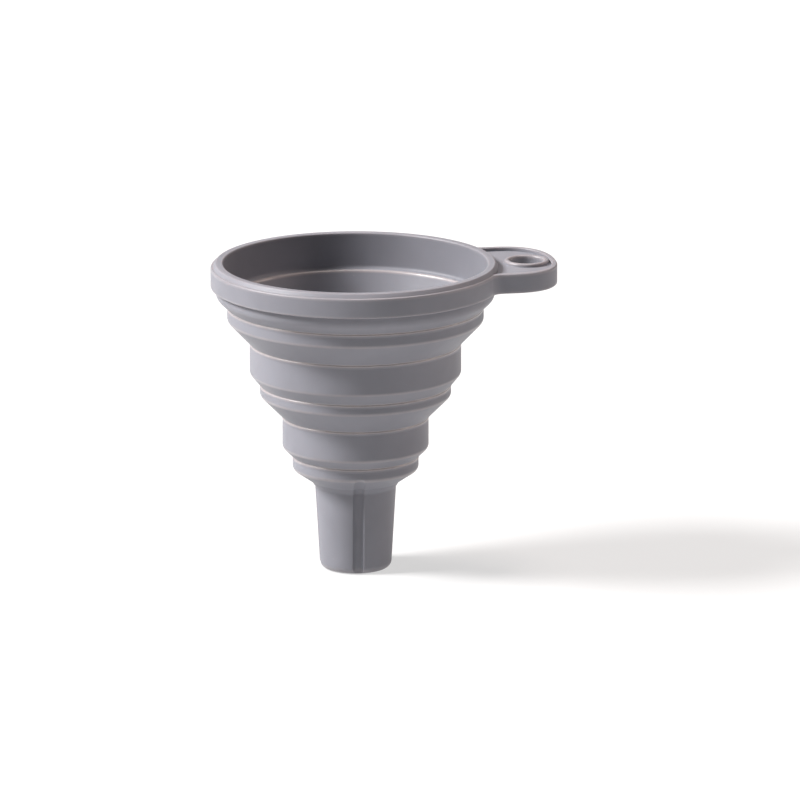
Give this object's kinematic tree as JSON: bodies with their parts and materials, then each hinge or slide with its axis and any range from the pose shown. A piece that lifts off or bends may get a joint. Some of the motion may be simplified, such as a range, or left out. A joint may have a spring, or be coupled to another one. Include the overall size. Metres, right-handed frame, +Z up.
{
  "type": "folding funnel",
  "caption": "Folding silicone funnel: a wide rim, narrowing rings joined by folding cone webs, a tapered grooved spout and a hanging tab with an eyelet.",
  "frame": {"origin": "centre of the spout's lower end, on the funnel's axis", "axes": "+X towards the hanging tab, +Y across it, +Z up the funnel's axis to the rim"},
  "size_m": [0.0913, 0.076, 0.0825],
  "materials": {
    "silicone": "matte"
  },
  "bodies": {
    "rim": {"rim_band": "silicone", "rim_bead": "silicone", "hang_tab": "silicone", "upper_web": "silicone"},
    "upper_stage": {"upper_band": "silicone", "upper_bead": "silicone", "middle_web": "silicone"},
    "lower_stage": {"lower_band": "silicone", "lower_bead": "silicone", "lower_web": "silicone"},
    "spout_stage": {"spout": "silicone"}
  },
  "joints": [
    {"name": "upper_fold", "type": "slide", "parent": "rim", "child": "upper_stage", "axis": [0, 0, 1], "range_m": [0, 0.0126], "deforming": ["upper_web"]},
    {"name": "middle_fold", "type": "slide", "parent": "upper_stage", "child": "lower_stage", "axis": [0, 0, 1], "range_m": [0, 0.0121], "deforming": ["middle_web"]},
    {"name": "lower_fold", "type": "slide", "parent": "lower_stage", "child": "spout_stage", "axis": [0, 0, 1], "range_m": [0, 0.0067], "deforming": ["lower_web"]}
  ]
}
